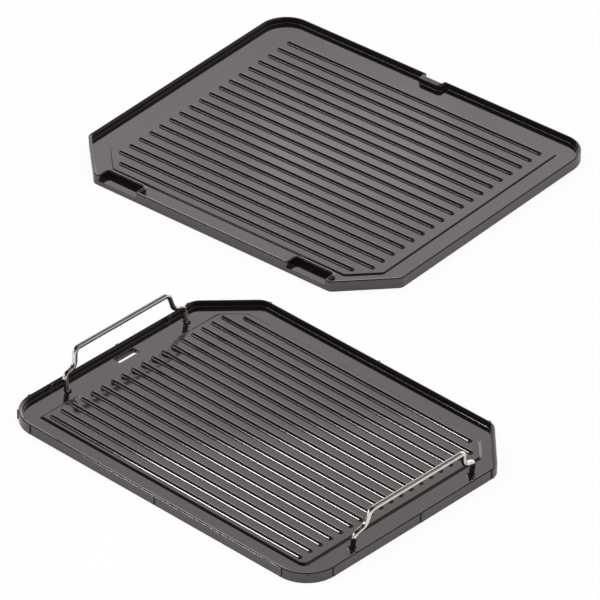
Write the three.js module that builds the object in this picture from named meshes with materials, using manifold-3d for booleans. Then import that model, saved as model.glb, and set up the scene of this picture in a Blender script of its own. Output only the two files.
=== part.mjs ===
// Two removable cast grill plates with a dark non-stick coating, lying side by side.
// The lower plate has a grease slot and two loose stainless wire handles.
// Millimetres, +Z up. The origin is the middle of the lower plate's underside.

import * as THREE from "three";
import { mergeVertices } from "three/addons/utils/BufferGeometryUtils.js";
import Module from "manifold-3d";

const wasm = await Module();
wasm.setup();

// Sizes that both castings share
const casting = {
  rimWidth: 2.4,
  wallDraft: 0.3,
  rimBevel: 0.7,
  footBevel: 0.6,
  floorFillet: 1,
  plateauSlope: 0.9,
  skirtWidth: 9,
  recessDepth: 0.9,
  recessRound: 12,
  overrun: 2,
};

// Lower plate: +X runs along the ribs, +Y to the side with the cut corners
const lower = {
  length: 295.3,
  width: 225.8,
  rimHeight: 8.4,
  gutterHeight: 3.9,
  plateauRise: 0.9,
  frontRound: 26,
  cornerCut: 36.4,
  cutRound: 12,
  gutterLeft: 21.4,
  gutterRight: 19.3,
  gutterFront: 16.2,
  gutterBack: 17.6,
  plateauCut: 15,
  plateauRound: 5,
  sumpBack: 48.3,
  sumpFront: 59.7,
  sumpInset: 8,
  sumpRound: 7,
  ribPitch: 10.04,
  ribMiddle: -0.8,
  ribGapLeft: 4.1,
  ribGapRight: 7,
  shortGapLeft: 16,
  shortGapRight: 17,
  landLength: 180,
  landWidth: 130,
};

// Upper plate: the same directions, with the cut corners on the -Y side
const upper = {
  length: 296.4,
  width: 260.7,
  rimHeight: 8.7,
  gutterHeight: 4.1,
  plateauRise: 1,
  backRound: 23,
  cornerCut: 37,
  cutRound: 6,
  gutterLeft: 20.1,
  gutterRight: 18.4,
  gutterFront: 18.4,
  gutterBack: 18.9,
  plateauCut: 20,
  plateauRound: 4,
  ribPitch: 11.39,
  ribMiddle: -0.5,
  ribGapLeft: 8.5,
  ribGapRight: 8.2,
  shortGapLeft: 18.5,
  shortGapRight: 18.1,
  landLength: 180,
  landWidth: 150,
};

// Where the upper plate lies beside the lower one
const upperPlace = { x: -213.7, y: 281.2, turnDegrees: 4.4 };

// Bars cast on the plateau; the counts are on each side of the middle one
const rib = {
  rise: 1.7,
  baseWidth: 3,
  crownWidth: 1.1,
  shoulderInset: 0.4,
  shoulderRise: 1.1,
  towardCut: 9,
  awayFromCut: 9,
};

// Small upright nubs cast on the lower plate's outer wall
const nub = { width: 2.6, proud: 1, topDrop: 0.4, footRise: 1 };

// Grease slot through the lower plate's gutter, placed from the left wall and the middle
const slot = { inset: 6.9, width: 6.6, length: 20, middle: -1.1, round: 1.2 };

// Notch in the upper plate's back rim, with the wall thickened behind it
const notch = { width: 17, depth: 3.4, wall: 5.4, padWidth: 21, padCut: 2.2 };

// Pockets in the upper plate's front rim for the clips that hold the plate down
const pocket = { inner: 71.6, outer: 106, depth: 10.8, wall: 2.3, round: 2.4 };

// Bent wire handle and the holes for it
const handle = {
  wireDiameter: 4,
  leftInset: 12,
  leftMiddle: -2,
  rightInset: 10.4,
  rightMiddle: 1.1,
  footSpan: 119,
  shoulderHeight: 13.9,
  shoulderRise: 2.5,
  neckSpan: 98.8,
  gripSpan: 93,
  gripHeight: 29.2,
  bend: 4,
  leanDegrees: 9.5,
  stub: 0.3,
};
const footHole = { diameter: 5, webThickness: 1.7, edgeDiameter: 7.4, edgeDepth: 0.5 };
const washer = { diameter: 7.6, thickness: 0.6, drop: 0.8, wireGap: 0.3, recessGap: 0.8 };

// Smoothness of round shapes, as counts
const steps = { cornerArc: 6, smallArc: 3, ribEnd: 4, wireSides: 10, wireRun: 84, round: 24 };

// Outlines

// Corner points [x, y, round] are joined in order, anticlockwise, with an arc at each rounded corner.
function cornerArcs(corners) {
  return corners.map(([x, y, round, arcSteps], index) => {
    const corner = new THREE.Vector2(x, y);
    const [beforeX, beforeY] = corners.at(index - 1);
    const [afterX, afterY] = corners[(index + 1) % corners.length];
    const along = corner.clone().sub(new THREE.Vector2(beforeX, beforeY)).normalize();
    const onward = new THREE.Vector2(afterX, afterY).sub(corner).normalize();
    const turn = Math.atan2(along.cross(onward), along.dot(onward));
    const reach = round * Math.tan(Math.abs(turn) / 2);
    const start = corner.clone().addScaledVector(along, -reach);
    const side = new THREE.Vector2(-along.y, along.x).multiplyScalar(Math.sign(turn));
    const centre = start.clone().addScaledVector(side, round);
    return { start, centre, turn, steps: round > 0 ? arcSteps ?? steps.smallArc : 0 };
  });
}

function pointOnArc(arc, share) {
  return arc.start.clone().rotateAround(arc.centre, arc.turn * share);
}

function outline(corners) {
  return cornerArcs(corners).flatMap((arc) =>
    Array.from({ length: arc.steps + 1 }, (unused, step) => pointOnArc(arc, step / Math.max(arc.steps, 1))),
  );
}

// Moves every side of an anticlockwise outline inwards by the same distance.
function inset(points, distance) {
  return points.map((point, index) => {
    const before = point.clone().sub(points.at(index - 1)).normalize();
    const after = points[(index + 1) % points.length].clone().sub(point).normalize();
    const inwards = new THREE.Vector2(-before.y - after.y, before.x + after.x);
    return point.clone().addScaledVector(inwards, distance / (1 + before.dot(after)));
  });
}

function rectangle(left, front, right, back, round) {
  return outline([
    [left, front, round],
    [right, front, round],
    [right, back, round],
    [left, back, round],
  ]);
}

// A bar outline with round ends, along X.
function barOutline(left, right, y, halfWidth) {
  const ends = [
    [right - halfWidth, -Math.PI / 2],
    [left + halfWidth, Math.PI / 2],
  ];
  return ends.flatMap(([x, from]) =>
    Array.from({ length: steps.ribEnd + 1 }, (unused, step) => {
      const angle = from + (Math.PI * step) / steps.ribEnd;
      return new THREE.Vector2(x + halfWidth * Math.cos(angle), y + halfWidth * Math.sin(angle));
    }),
  );
}

// Solids

function toSolid(geometry) {
  geometry.deleteAttribute("normal");
  geometry.deleteAttribute("uv");
  const merged = mergeVertices(geometry);
  const vertProperties = new Float32Array(merged.attributes.position.array);
  const triVerts = new Uint32Array(merged.index.array);
  return new wasm.Manifold(new wasm.Mesh({ numProp: 3, vertProperties, triVerts }));
}

function toGeometry(solid) {
  const { vertProperties, triVerts } = solid.getMesh();
  const geometry = new THREE.BufferGeometry();
  geometry.setAttribute("position", new THREE.BufferAttribute(new Float32Array(vertProperties), 3));
  geometry.setIndex(new THREE.BufferAttribute(new Uint32Array(triVerts), 1));
  geometry.computeVertexNormals();
  return geometry;
}

// A closed solid through rings of equal length: each ring is [points, height], from the lowest up.
function loft(rings) {
  const count = rings[0][0].length;
  const positions = rings.flatMap(([points, height]) => points.flatMap(({ x, y }) => [x, y, height]));
  const faces = [];
  for (let ring = 0; ring + 1 < rings.length; ring += 1) {
    for (let index = 0; index < count; index += 1) {
      const low = ring * count + index;
      const lowNext = ring * count + ((index + 1) % count);
      faces.push(low, lowNext, lowNext + count, low, lowNext + count, low + count);
    }
  }
  const last = (rings.length - 1) * count;
  for (const [a, b, c] of THREE.ShapeUtils.triangulateShape(rings[0][0], [])) {
    faces.push(c, b, a);
  }
  for (const [a, b, c] of THREE.ShapeUtils.triangulateShape(rings.at(-1)[0], [])) {
    faces.push(last + a, last + b, last + c);
  }
  const geometry = new THREE.BufferGeometry();
  geometry.setAttribute("position", new THREE.Float32BufferAttribute(positions, 3));
  geometry.setIndex(faces);
  return toSolid(geometry);
}

function prism(points, low, high) {
  const shape = new THREE.Shape(points);
  const geometry = new THREE.ExtrudeGeometry(shape, { depth: high - low, bevelEnabled: false });
  geometry.translate(0, 0, low);
  return toSolid(geometry);
}

// A round solid about +Z from [radius, height] points, from the lowest up.
function turned(profile, x, y) {
  const points = profile.map(([radius, height]) => new THREE.Vector2(radius, height));
  const geometry = new THREE.LatheGeometry(points, steps.round);
  geometry.rotateX(Math.PI / 2);
  geometry.translate(x, y, 0);
  return toSolid(geometry);
}

// Castings

// The tray: outer wall with bevelled edges, hollowed down to the gutter with a small fillet.
function tray(plate, points) {
  const wall = casting.rimWidth + casting.wallDraft;
  const top = plate.rimHeight + casting.overrun;
  const body = loft([
    [inset(points, casting.footBevel), 0],
    [points, casting.footBevel],
    [points, plate.rimHeight - casting.rimBevel],
    [inset(points, casting.rimBevel), plate.rimHeight],
  ]);
  const hollow = loft([
    [inset(points, wall + casting.floorFillet), plate.gutterHeight],
    [inset(points, wall), plate.gutterHeight + casting.floorFillet],
    [inset(points, casting.rimWidth), plate.rimHeight],
    [inset(points, casting.rimWidth), top],
  ]);
  return body.subtract(hollow);
}

function plateau(plate, points) {
  const low = plate.gutterHeight - casting.plateauSlope;
  const high = plate.gutterHeight + plate.plateauRise;
  const slope = casting.plateauSlope / 2;
  return loft([
    [inset(points, -slope), low],
    [inset(points, -slope), plate.gutterHeight],
    [inset(points, slope), high],
  ]);
}

// How far the plateau's four sides lie from the middle of its plate.
function plateauReach(plate) {
  return {
    left: plate.length / 2 - plate.gutterLeft,
    right: plate.length / 2 - plate.gutterRight,
    front: plate.width / 2 - plate.gutterFront,
    back: plate.width / 2 - plate.gutterBack,
  };
}

function ribBar(plate, left, right, y) {
  const base = plate.gutterHeight + plate.plateauRise;
  const low = plate.gutterHeight - casting.plateauSlope;
  const points = barOutline(left, right, y, rib.baseWidth / 2);
  const crownInset = (rib.baseWidth - rib.crownWidth) / 2;
  return loft([
    [points, low],
    [points, base],
    [inset(points, rib.shoulderInset), base + rib.shoulderRise],
    [inset(points, crownInset), base + rib.rise],
  ]);
}

// All ribs of a plate: cutSide is +1 where the cut corners are at +Y, and that side's last rib is short.
function ribs(plate, cutSide) {
  const reach = plateauReach(plate);
  const bars = [];
  for (let row = -rib.awayFromCut; row <= rib.towardCut; row += 1) {
    const short = row === rib.towardCut;
    const left = (short ? plate.shortGapLeft : plate.ribGapLeft) - reach.left;
    const right = reach.right - (short ? plate.shortGapRight : plate.ribGapRight);
    bars.push(ribBar(plate, left, right, plate.ribMiddle + cutSide * row * plate.ribPitch));
  }
  return bars;
}

// The shallow recess under the floor, between the skirt and a flat land in the middle.
function undersideRecess(plate, corners) {
  const sharp = inset(corners.map(([x, y]) => new THREE.Vector2(x, y)), casting.skirtWidth);
  const skirtPoints = outline(sharp.map(({ x, y }) => [x, y, casting.recessRound]));
  const area = prism(skirtPoints, -casting.overrun, casting.recessDepth);
  const halfLength = plate.landLength / 2;
  const halfWidth = plate.landWidth / 2;
  const landPoints = rectangle(-halfLength, -halfWidth, halfLength, halfWidth, casting.recessRound);
  return area.subtract(prism(landPoints, -2 * casting.overrun, 2 * casting.recessDepth));
}

const join = (solid, pieces) => pieces.reduce((whole, piece) => whole.add(piece), solid);
const cut = (solid, pieces) => pieces.reduce((whole, piece) => whole.subtract(piece), solid);

// Lower plate

const lowerHalfX = lower.length / 2;
const lowerHalfY = lower.width / 2;
const lowerCorners = [
  [-lowerHalfX, -lowerHalfY, lower.frontRound, steps.cornerArc],
  [lowerHalfX, -lowerHalfY, lower.frontRound, steps.cornerArc],
  [lowerHalfX, lowerHalfY - lower.cornerCut, lower.cutRound],
  [lowerHalfX - lower.cornerCut, lowerHalfY, lower.cutRound],
  [lower.cornerCut - lowerHalfX, lowerHalfY, lower.cutRound],
  [-lowerHalfX, lowerHalfY - lower.cornerCut, lower.cutRound],
];

// Its left edge steps back along the sump, where the gutter widens towards the grease slot.
const lowerReach = plateauReach(lower);
const lowerPlateauPoints = outline([
  [-lowerReach.left, -lowerReach.front, 0],
  [lowerReach.right, -lowerReach.front, lower.plateauRound],
  [lowerReach.right, lowerReach.back - lower.plateauCut, lower.plateauRound],
  [lowerReach.right - lower.plateauCut, lowerReach.back, lower.plateauRound],
  [lower.plateauCut - lowerReach.left, lowerReach.back, lower.plateauRound],
  [-lowerReach.left, lowerReach.back - lower.plateauCut, lower.plateauRound],
  [-lowerReach.left, lower.sumpBack - lower.sumpRound, lower.sumpRound],
  [lower.sumpInset - lowerReach.left, lower.sumpBack - 3 * lower.sumpRound, lower.sumpRound],
  [lower.sumpInset - lowerReach.left, -lower.sumpFront, 0],
  [-lowerReach.left, -lower.sumpFront, 0],
]);

// One nub: a small upright block half sunk in the wall at a point, facing outwards.
function nubAt(point, outwards) {
  const half = nub.width / 2;
  const points = rectangle(-nub.proud, -half, nub.proud, half, 0);
  const block = prism(points, nub.footRise, lower.rimHeight - nub.topDrop);
  return block.rotate([0, 0, THREE.MathUtils.radToDeg(outwards)]).translate([point.x, point.y, 0]);
}

// Along each corner's arc, from its start (0) to its end (1), in the order of the corners
const nubShares = [[0, 1 / 2, 1], [0, 1 / 2, 1], [0], [1], [0], [1]];

function lowerNubs() {
  const nubs = cornerArcs(lowerCorners).flatMap((arc, index) =>
    nubShares[index].map((share) => {
      const point = pointOnArc(arc, share);
      return nubAt(point, point.clone().sub(arc.centre).angle());
    }),
  );
  for (const quarter of [0, 1, 2, 3]) {
    const angle = (quarter * Math.PI) / 2;
    const point = new THREE.Vector2(lowerHalfX * Math.cos(angle), lowerHalfY * Math.sin(angle));
    nubs.push(nubAt(point, angle));
  }
  return nubs;
}

const leftPivot = { x: handle.leftInset - lowerHalfX, y: handle.leftMiddle };
const rightPivot = { x: lowerHalfX - handle.rightInset, y: handle.rightMiddle };
const feet = [leftPivot, rightPivot].flatMap(({ x, y }) =>
  [-1, 1].map((side) => ({ x, y: y + (side * handle.footSpan) / 2 })),
);

// The hole for a wire end: wider at its upper edge, with a recess for the washer below.
function footHoleCut({ x, y }) {
  const webLow = lower.gutterHeight - footHole.webThickness;
  const recessRadius = washer.diameter / 2 + washer.recessGap;
  const radius = footHole.diameter / 2;
  const top = lower.gutterHeight + casting.overrun;
  return turned(
    [
      [0, -casting.overrun],
      [recessRadius, -casting.overrun],
      [recessRadius, webLow],
      [radius, webLow],
      [radius, lower.gutterHeight - footHole.edgeDepth],
      [footHole.edgeDiameter / 2, lower.gutterHeight],
      [footHole.edgeDiameter / 2, top],
      [0, top],
    ],
    x,
    y,
  );
}

function lowerPlateSolid() {
  const points = outline(lowerCorners);
  const slotLeft = slot.inset - lowerHalfX;
  const slotFront = slot.middle - slot.length / 2;
  const slotPoints = rectangle(
    slotLeft,
    slotFront,
    slotLeft + slot.width,
    slotFront + slot.length,
    slot.round,
  );
  const shell = join(tray(lower, points), [
    ...lowerNubs(),
    plateau(lower, lowerPlateauPoints),
    ...ribs(lower, 1),
  ]);
  return cut(shell, [
    undersideRecess(lower, lowerCorners),
    prism(slotPoints, -casting.overrun, lower.rimHeight),
    ...feet.map(footHoleCut),
  ]);
}

// Upper plate

const upperHalfX = upper.length / 2;
const upperHalfY = upper.width / 2;
const upperCorners = [
  [upper.cornerCut - upperHalfX, -upperHalfY, upper.cutRound],
  [upperHalfX - upper.cornerCut, -upperHalfY, upper.cutRound],
  [upperHalfX, upper.cornerCut - upperHalfY, upper.cutRound],
  [upperHalfX, upperHalfY, upper.backRound, steps.cornerArc],
  [-upperHalfX, upperHalfY, upper.backRound, steps.cornerArc],
  [-upperHalfX, upper.cornerCut - upperHalfY, upper.cutRound],
];

const upperReach = plateauReach(upper);
const upperPlateauPoints = outline([
  [upper.plateauCut - upperReach.left, -upperReach.front, upper.plateauRound],
  [upperReach.right - upper.plateauCut, -upperReach.front, upper.plateauRound],
  [upperReach.right, upper.plateauCut - upperReach.front, upper.plateauRound],
  [upperReach.right, upperReach.back, upper.plateauRound],
  [-upperReach.left, upperReach.back, upper.plateauRound],
  [-upperReach.left, upper.plateauCut - upperReach.front, upper.plateauRound],
]);

// The thickened wall behind the back notch, with its inner corners cut off.
function notchPad() {
  const half = notch.padWidth / 2;
  const wallMiddle = upperHalfY - casting.rimWidth / 2;
  const face = upperHalfY - notch.depth - notch.wall;
  const points = [
    [-half, wallMiddle],
    [-half, face + notch.padCut],
    [notch.padCut - half, face],
    [half - notch.padCut, face],
    [half, face + notch.padCut],
    [half, wallMiddle],
  ].map(([x, y]) => new THREE.Vector2(x, y));
  return prism(points, upper.gutterHeight / 2, upper.rimHeight);
}

function notchCut() {
  const half = notch.width / 2;
  const points = rectangle(-half, upperHalfY - notch.depth, half, upperHalfY + casting.overrun, 0);
  return prism(points, -casting.overrun, upper.rimHeight + casting.overrun);
}

// The wall steps in round each front pocket, and the pocket's floor is at gutter height.
function pocketWall(side) {
  const left = side < 0 ? -pocket.outer : pocket.inner;
  const right = side < 0 ? -pocket.inner : pocket.outer;
  const front = casting.rimWidth / 2 - upperHalfY;
  const back = pocket.depth + pocket.wall - upperHalfY;
  const points = rectangle(left - pocket.wall, front, right + pocket.wall, back, pocket.round);
  return prism(points, upper.gutterHeight / 2, upper.rimHeight);
}

function pocketCut(side) {
  const left = side < 0 ? -pocket.outer : pocket.inner;
  const right = side < 0 ? -pocket.inner : pocket.outer;
  const front = -upperHalfY - 2 * pocket.round;
  const points = rectangle(left, front, right, pocket.depth - upperHalfY, pocket.round);
  return prism(points, upper.gutterHeight, upper.rimHeight + casting.overrun);
}

function upperPlateSolid() {
  const shell = join(tray(upper, outline(upperCorners)), [
    plateau(upper, upperPlateauPoints),
    ...ribs(upper, -1),
    notchPad(),
    pocketWall(-1),
    pocketWall(1),
  ]);
  return cut(shell, [undersideRecess(upper, upperCorners), notchCut(), pocketCut(-1), pocketCut(1)]);
}

// Handles

// The wire's middle line in its own plane: +Y along the grip, +Z up from the pivot in the holes.
function wirePath() {
  const footLow = -footHole.webThickness / 2 - washer.drop - washer.thickness - handle.stub;
  const half = [
    [handle.footSpan / 2, footLow],
    [handle.footSpan / 2, handle.shoulderHeight],
    [handle.neckSpan / 2, handle.shoulderHeight + handle.shoulderRise],
    [handle.gripSpan / 2, handle.gripHeight],
  ];
  const mirrored = half.map(([y, z]) => [-y, z]).reverse();
  const corners = [...half, ...mirrored].map(([y, z]) => new THREE.Vector3(0, y, z));
  const path = new THREE.CurvePath();
  let from = corners[0];
  for (let index = 1; index + 1 < corners.length; index += 1) {
    const corner = corners[index];
    const back = corners[index - 1].clone().sub(corner).normalize();
    const onward = corners[index + 1].clone().sub(corner).normalize();
    const start = corner.clone().addScaledVector(back, handle.bend);
    const end = corner.clone().addScaledVector(onward, handle.bend);
    path.add(new THREE.LineCurve3(from, start));
    path.add(new THREE.QuadraticBezierCurve3(start, corner, end));
    from = end;
  }
  path.add(new THREE.LineCurve3(from, corners.at(-1)));
  return path;
}

function wireGeometry() {
  const radius = handle.wireDiameter / 2;
  const section = Array.from({ length: steps.wireSides }, (unused, step) => {
    const angle = (2 * Math.PI * step) / steps.wireSides;
    return new THREE.Vector2(radius * Math.cos(angle), radius * Math.sin(angle));
  });
  const options = { steps: steps.wireRun, extrudePath: wirePath(), bevelEnabled: false };
  return new THREE.ExtrudeGeometry(new THREE.Shape(section), options);
}

// A push-on washer that keeps the wire in its hole, in the recess under the floor.
function washerGeometry() {
  const bore = handle.wireDiameter / 2 + washer.wireGap;
  const rim = washer.diameter / 2;
  return toGeometry(
    turned([[bore, 0], [rim, 0], [rim, washer.thickness], [bore, washer.thickness], [bore, 0]], 0, 0),
  );
}

// Materials

const coating = new THREE.MeshStandardMaterial({ color: 0x5f5b5a, roughness: 0.35, metalness: 0.3 });
const stainless = new THREE.MeshStandardMaterial({ color: 0xd6d4d0, roughness: 0.15, metalness: 1 });
const springSteel = new THREE.MeshStandardMaterial({ color: 0x9a9a98, roughness: 0.35, metalness: 1 });

function part(name, geometry, material) {
  const mesh = new THREE.Mesh(geometry, material);
  mesh.name = name;
  return mesh;
}

// A handle leans outwards from its holes; the left one is the right one turned half round.
function handleGroup(name, pivot, turn) {
  const leaning = new THREE.Group();
  leaning.rotation.y = THREE.MathUtils.degToRad(handle.leanDegrees);
  leaning.add(part(`${name}_handle`, wireGeometry(), stainless));
  const ends = turn === 0 ? { front: -1, back: 1 } : { front: 1, back: -1 };
  for (const [end, side] of Object.entries(ends)) {
    const clip = part(`${name}_${end}_washer`, washerGeometry(), springSteel);
    const seat = -footHole.webThickness / 2 - washer.drop - washer.thickness;
    clip.position.set(0, (side * handle.footSpan) / 2, seat);
    leaning.add(clip);
  }
  const group = new THREE.Group();
  group.rotation.z = turn;
  group.position.set(pivot.x, pivot.y, lower.gutterHeight - footHole.webThickness / 2);
  group.add(leaning);
  return group;
}

const upperPlate = part("upper_plate", toGeometry(upperPlateSolid()), coating);
upperPlate.position.set(upperPlace.x, upperPlace.y, 0);
upperPlate.rotation.z = THREE.MathUtils.degToRad(upperPlace.turnDegrees);

const grillPlates = new THREE.Group();
grillPlates.add(part("lower_plate", toGeometry(lowerPlateSolid()), coating));
grillPlates.add(handleGroup("left", leftPivot, Math.PI));
grillPlates.add(handleGroup("right", rightPivot, 0));
grillPlates.add(upperPlate);

export default grillPlates;
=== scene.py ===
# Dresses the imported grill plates: two coated castings, two wire handles and their washers.
# Sizes are in millimetres, as in the part's source, and become metres when a mesh is made.
import math

import bmesh
import bpy
import numpy as np
from mathutils import Matrix, Vector
from mathutils.geometry import delaunay_2d_cdt


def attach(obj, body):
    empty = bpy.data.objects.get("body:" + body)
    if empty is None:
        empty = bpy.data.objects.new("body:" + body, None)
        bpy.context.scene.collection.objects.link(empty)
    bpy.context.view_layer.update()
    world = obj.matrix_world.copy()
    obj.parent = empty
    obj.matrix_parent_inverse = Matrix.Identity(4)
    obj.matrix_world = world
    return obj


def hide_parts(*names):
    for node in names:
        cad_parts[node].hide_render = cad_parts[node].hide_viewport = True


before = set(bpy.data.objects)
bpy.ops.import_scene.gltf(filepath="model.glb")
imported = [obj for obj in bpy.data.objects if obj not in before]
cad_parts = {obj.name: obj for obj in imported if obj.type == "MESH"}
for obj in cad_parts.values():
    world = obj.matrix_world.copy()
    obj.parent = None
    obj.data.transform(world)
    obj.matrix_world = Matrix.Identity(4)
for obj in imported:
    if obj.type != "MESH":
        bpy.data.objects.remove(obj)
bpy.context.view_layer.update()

scene = bpy.context.scene
quarter = math.pi / 2
perMetre = 1000


# Outlines
def unit(vector):
    return vector / np.linalg.norm(vector)


def signedTurn(before, after):
    return math.atan2(before[0] * after[1] - before[1] * after[0], before @ after)


# Sharp corners of a polygon moved inwards
def insetPolygon(corners, distance):
    points = np.array([c[:2] for c in corners], float)
    moved = []
    for i, point in enumerate(points):
        before = unit(point - points[i - 1])
        after = unit(points[(i + 1) % len(points)] - point)
        inward = np.array([-before[1] - after[1], before[0] + after[0]])
        moved.append(point + inward * distance / (1 + before @ after))
    return np.array(moved)


# The outline [x, y, round, steps] inset by a distance, its rounds following. Every inset has as many points.
def ring(corners, distance=0, least=0.25):
    points = insetPolygon(corners, distance)
    out = []
    for i, point in enumerate(points):
        along = unit(point - points[i - 1])
        turn = signedTurn(along, unit(points[(i + 1) % len(points)] - point))
        radius = max(corners[i][2] - math.copysign(distance, turn), least)
        start = point - along * radius * math.tan(abs(turn) / 2)
        side = np.array([-along[1], along[0]]) * math.copysign(1, turn)
        centre = start + side * radius
        arm = start - centre
        across = np.array([-arm[1], arm[0]])
        steps = corners[i][3]
        for k in range(steps + 1):
            a = turn * k / steps
            out.append(centre + (arm * math.cos(a) + across * math.sin(a)))
    return np.array(out)


# The way inwards at each point of an outline, a millimetre long on its straight lines
def inwards(corners):
    return ring(corners, 0.5) - ring(corners, -0.5)


def box(left, front, right, back, radius, steps=6):
    spots = ((left, front), (right, front), (right, back), (left, back))
    return [(x, y, radius, steps) for x, y in spots]


def inside(point, polygon):
    x, y = point
    px, py = polygon[:, 0], polygon[:, 1]
    qx, qy = np.roll(px, -1), np.roll(py, -1)
    crosses = (py > y) != (qy > y)
    with np.errstate(divide="ignore", invalid="ignore"):
        at = px + (y - py) * (qx - px) / (qy - py)
    return bool(np.count_nonzero(crosses & (x < at)) % 2)


# Meshes
weld = dict(casting=0.0004, nub=0.00002, round=0.00001, fill=1e-7)  # how near points are that join
shading = dict(castingAngle=40, wireAngle=50, smallAngle=60, flatWeight=100)


# Collects faces in millimetres and welds them into one mesh
class Shell:
    def __init__(self):
        self.bm = bmesh.new()

    def loop(self, points, height):
        heights = np.broadcast_to(height, len(points))
        return [self.bm.verts.new((x, y, z)) for (x, y), z in zip(points, heights)]

    def skin(self, loops):
        for low, high in zip(loops, loops[1:]):
            for i in range(len(low)):
                j = (i + 1) % len(low)
                self.bm.faces.new((low[i], low[j], high[j], high[i]))

    # Fills the plane between a rim and its holes
    def flat(self, rim, holes, height, up=True):
        rings = [rim, *holes]
        points = [Vector(p) for r in rings for p in r]
        edges, start = [], 0
        for r in rings:
            edges += [(start + i, start + (i + 1) % len(r)) for i in range(len(r))]
            start += len(r)
        verts, _, faces, _, _, _ = delaunay_2d_cdt(points, edges, [], 1, weld["fill"])
        made = [self.bm.verts.new((v.x, v.y, height)) for v in verts]
        for face in faces:
            centre = sum((verts[i] for i in face), Vector((0, 0))) / len(face)
            if inside(centre, rim) and not any(inside(centre, hole) for hole in holes):
                order = face if up else face[::-1]
                self.bm.faces.new([made[i] for i in order])

    def finish(self, name, near=weld["casting"]):
        bmesh.ops.remove_doubles(self.bm, verts=self.bm.verts, dist=near)
        bmesh.ops.dissolve_degenerate(self.bm, edges=self.bm.edges, dist=near)
        bmesh.ops.recalc_face_normals(self.bm, faces=self.bm.faces)
        return toMesh(name, self.bm)


def toMesh(name, bm):
    mesh = bpy.data.meshes.new(name)
    bm.to_mesh(mesh)
    bm.free()
    return mesh


# Millimetres in the piece's own frame to metres in the shared frame
def toObject(name, mesh, place=Matrix()):
    mesh.transform(place)
    mesh.transform(Matrix.Scale(1 / perMetre, 4))
    obj = bpy.data.objects.new(name, mesh)
    scene.collection.objects.link(obj)
    return obj


# Bakes the modifiers into the mesh
def applied(obj):
    graph = bpy.context.evaluated_depsgraph_get()
    graph.update()
    mesh = bpy.data.meshes.new_from_object(obj.evaluated_get(graph))
    obj.modifiers.clear()
    obj.data = mesh
    return obj


# Smooth faces with the wide flats kept flat, and creases where the surface really turns
def smooth(obj, degrees):
    obj.data.polygons.foreach_set("use_smooth", [True] * len(obj.data.polygons))
    obj.data.set_sharp_from_angle(angle=math.radians(degrees))
    weights = obj.modifiers.new("evenNormals", "WEIGHTED_NORMAL")
    weights.mode = "FACE_AREA"
    weights.keep_sharp = True
    weights.weight = shading["flatWeight"]
    return applied(obj)


def cutBy(obj, cutters):
    for cutter in cutters:
        step = obj.modifiers.new("cut", "BOOLEAN")
        step.operation = "DIFFERENCE"
        step.solver = "EXACT"
        step.object = cutter
        applied(obj)
        bpy.data.objects.remove(cutter)
    return obj


# What both castings share: the sizes of their edge forms, and how many edges go round each form. The rim's
# inner edge lies rimLean lower than its outer one, and the inner wall leans in by wallDraft at its foot.
casting = dict(
    rimWidth=2.4, rimRound=1.1, rimCrown=0.5, rimLean=0.25, innerRound=0.5, wallDraft=0.05, floorFillet=0.7,
    footRound=0.6, ledgeRound=0.3, crownSteps=6, lipSteps=5, filletSteps=6, footSteps=5, ledgeSteps=4,
    wideArc=14, smallArc=7, tinyArc=5,
    skirtWidth=9, recessDepth=0.9, recessSlope=0.3, recessRound=12, recessArc=8,
    plainRound=3.1,  # corners with a smaller round belong to pockets and notches, and don't show below
    stepToe=0.1, stepLean=0.12, stepCrown=0.25, toeSteps=4, stepPoints=14, leastGap=0.0005,
)


# Profile points [inset, height] of a quarter round, convex or hollow
def roundOver(count, startInset, startHeight, across, rise, bulge=True):
    out = []
    for k in range(count + 1):
        a = quarter * k / count
        forward, upward = 1 - math.cos(a), math.sin(a)
        if not bulge:
            forward, upward = upward, forward
        out.append((startInset + across * forward, startHeight + rise * upward))
    return out


# The tray from its underside up and over the rim to the gutter. filled gives the outline below any pockets.
def trayShell(plate, outer, inner, filled=None):
    top, floor = plate["rimHeight"], plate["gutterHeight"]
    foot, ledge, crown = casting["footRound"], casting["ledgeRound"], casting["rimCrown"]
    sole = roundOver(casting["footSteps"], 0, foot, foot, -foot)[::-1]
    profile = [(filled(d, d) if filled else ring(outer, d), z) for d, z in sole]
    if filled:
        shelf = roundOver(casting["ledgeSteps"], 0, floor - ledge, ledge, ledge)
        profile += [(filled(0, d), z) for d, z in shelf]
        profile += [(ring(outer), floor)]
    brow = roundOver(casting["crownSteps"], 0, top - crown, casting["rimRound"], crown)
    profile += [(ring(outer, d), z) for d, z in brow]
    lip, steps = casting["innerRound"], casting["lipSteps"]
    for k in range(steps + 1):
        inset = -lip * math.sin(quarter * (1 - k / steps))
        height = top - casting["rimLean"] - lip * (1 - math.cos(quarter * k / steps))
        profile.append((ring(inner, inset), height))
    draft, fillet, steps = casting["wallDraft"], casting["floorFillet"], casting["filletSteps"]
    for k in range(steps + 1):
        a = quarter * k / steps
        inset, height = draft + fillet * (1 - math.cos(a)), floor + fillet * (1 - math.sin(a))
        profile.append((ring(inner, inset), height))
    shell = Shell()
    shell.skin([shell.loop(points, z) for points, z in profile])
    return shell, profile[-1][0]


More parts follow.
